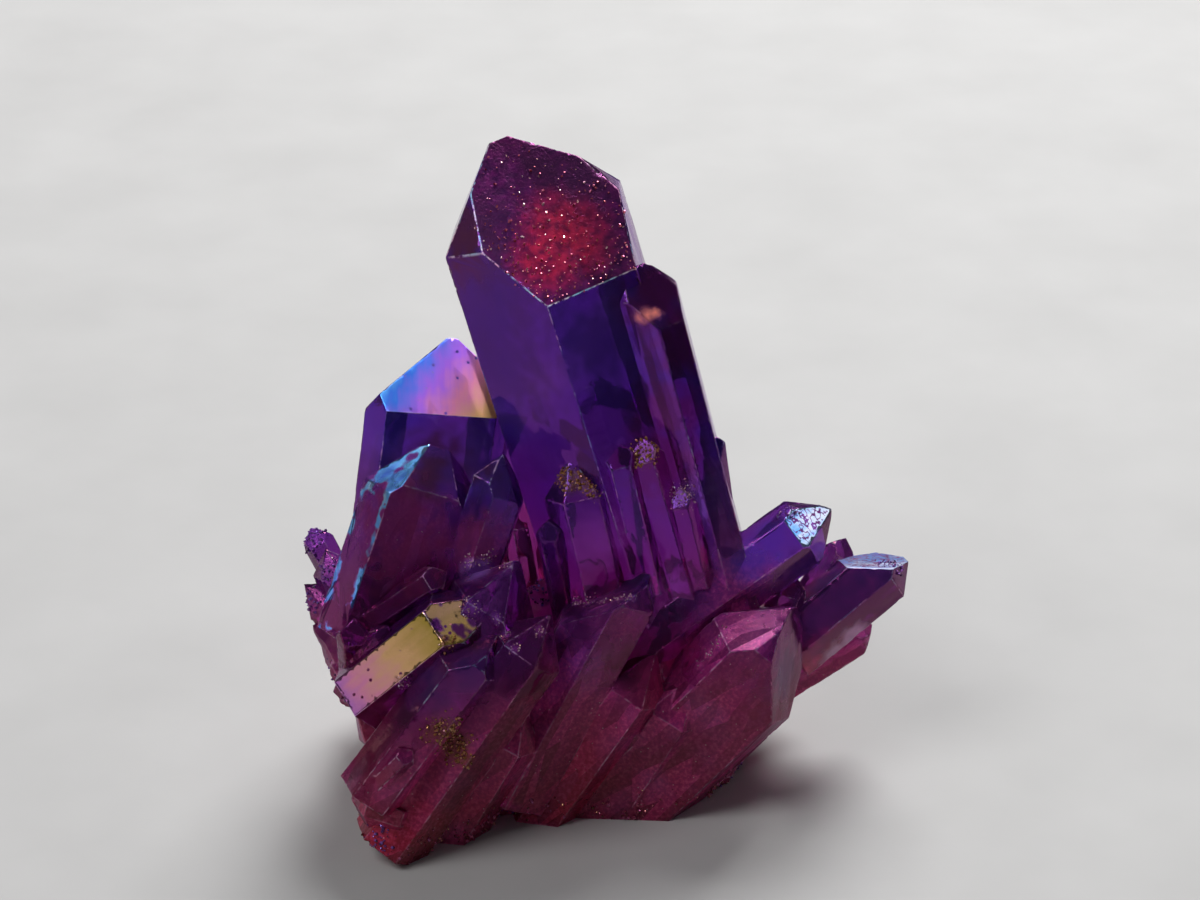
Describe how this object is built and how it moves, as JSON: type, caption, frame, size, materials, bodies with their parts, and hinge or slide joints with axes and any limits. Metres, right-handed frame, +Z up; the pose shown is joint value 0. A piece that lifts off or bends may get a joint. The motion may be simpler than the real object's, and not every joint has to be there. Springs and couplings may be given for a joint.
{
  "type": "aura quartz cluster",
  "caption": "Small cluster of six-sided quartz crystals grown together from one broken base, coated violet to wine red, cut flat underneath.",
  "frame": {"origin": "under the middle of the cluster's bounding box, on the plane it rests on", "axes": "+Z up, +Y to the back of the cluster, +X to the right as seen from its front; the tall main crystal leans to the left and back, and the arm of crystals points right"},
  "size_m": [0.0464, 0.0312, 0.048],
  "materials": {
    "aura_quartz": "clear quartz under a thin metal coating, glossy, violet to wine red with blue, pink and gold reflections"
  },
  "bodies": {
    "root": {"quartz_cluster": "aura_quartz"}
  },
  "joints": []
}
